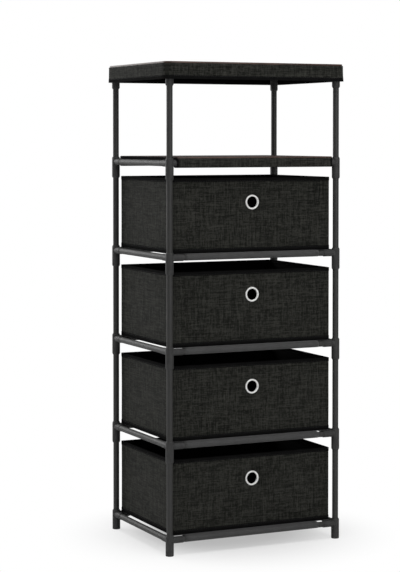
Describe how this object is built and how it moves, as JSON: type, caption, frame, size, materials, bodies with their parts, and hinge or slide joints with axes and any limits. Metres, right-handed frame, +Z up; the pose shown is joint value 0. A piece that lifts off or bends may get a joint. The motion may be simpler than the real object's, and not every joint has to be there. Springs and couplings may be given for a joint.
{
  "type": "fabric drawer dresser",
  "caption": "Tall narrow fabric drawer dresser: open-top cloth bins slide in a push-fit steel tube frame, under an open shelf and a wood-topped lid with a cloth skirt.",
  "frame": {"origin": "on the floor, midway between the four feet", "axes": "+Z up, front faces -Y, +X to the right seen from the front"},
  "size_m": [0.4502, 0.3378, 1.0855],
  "materials": {
    "corner_plastic": "moulded, satin",
    "coated_tube": "black powder coat, satin",
    "sling_cloth": "non-woven, matt",
    "linen_cloth": "slubbed linen look, matt",
    "edge_tape": "non-woven tape, matt",
    "greyboard": "raw",
    "wood_board": "dark walnut foil, satin",
    "grommet_plastic": "gloss"
  },
  "bodies": {
    "frame": {"foot_connectors": "corner_plastic", "level_2_connectors": "corner_plastic", "level_3_connectors": "corner_plastic", "level_4_connectors": "corner_plastic", "level_5_connectors": "corner_plastic", "top_connectors": "corner_plastic", "tier_1_uprights": "coated_tube", "tier_2_uprights": "coated_tube", "tier_3_uprights": "coated_tube", "tier_4_uprights": "coated_tube", "tier_5_uprights": "coated_tube", "level_1_front_back_rails": "coated_tube", "level_1_side_rails": "coated_tube", "level_2_front_back_rails": "coated_tube", "level_2_side_rails": "coated_tube", "level_3_front_back_rails": "coated_tube", "level_3_side_rails": "coated_tube", "level_4_front_back_rails": "coated_tube", "level_4_side_rails": "coated_tube", "level_5_front_back_rails": "coated_tube", "level_5_side_rails": "coated_tube", "level_6_front_back_rails": "coated_tube", "level_6_side_rails": "coated_tube", "sling_1": "sling_cloth", "sling_2": "sling_cloth", "sling_3": "sling_cloth", "sling_4": "sling_cloth", "shelf_cover": "linen_cloth", "shelf_board": "wood_board", "lid_cover": "linen_cloth", "lid_board": "wood_board"},
    "drawer_1": {"drawer_1_fabric_bin": "linen_cloth", "drawer_1_wall_stiffeners": "greyboard", "drawer_1_base_board": "greyboard", "drawer_1_edge_tapes": "edge_tape", "drawer_1_grommet": "grommet_plastic", "drawer_1_grommet_ring": "grommet_plastic"},
    "drawer_2": {"drawer_2_fabric_bin": "linen_cloth", "drawer_2_wall_stiffeners": "greyboard", "drawer_2_base_board": "greyboard", "drawer_2_edge_tapes": "edge_tape", "drawer_2_grommet": "grommet_plastic", "drawer_2_grommet_ring": "grommet_plastic"},
    "drawer_3": {"drawer_3_fabric_bin": "linen_cloth", "drawer_3_wall_stiffeners": "greyboard", "drawer_3_base_board": "greyboard", "drawer_3_edge_tapes": "edge_tape", "drawer_3_grommet": "grommet_plastic", "drawer_3_grommet_ring": "grommet_plastic"},
    "drawer_4": {"drawer_4_fabric_bin": "linen_cloth", "drawer_4_wall_stiffeners": "greyboard", "drawer_4_base_board": "greyboard", "drawer_4_edge_tapes": "edge_tape", "drawer_4_grommet": "grommet_plastic", "drawer_4_grommet_ring": "grommet_plastic"}
  },
  "joints": [
    {"name": "drawer_1_slide", "type": "slide", "parent": "frame", "child": "drawer_1", "axis": [0, -1, 0], "range_m": [0, 0.25]},
    {"name": "drawer_2_slide", "type": "slide", "parent": "frame", "child": "drawer_2", "axis": [0, -1, 0], "range_m": [0, 0.25]},
    {"name": "drawer_3_slide", "type": "slide", "parent": "frame", "child": "drawer_3", "axis": [0, -1, 0], "range_m": [0, 0.25]},
    {"name": "drawer_4_slide", "type": "slide", "parent": "frame", "child": "drawer_4", "axis": [0, -1, 0], "range_m": [0, 0.25]}
  ]
}
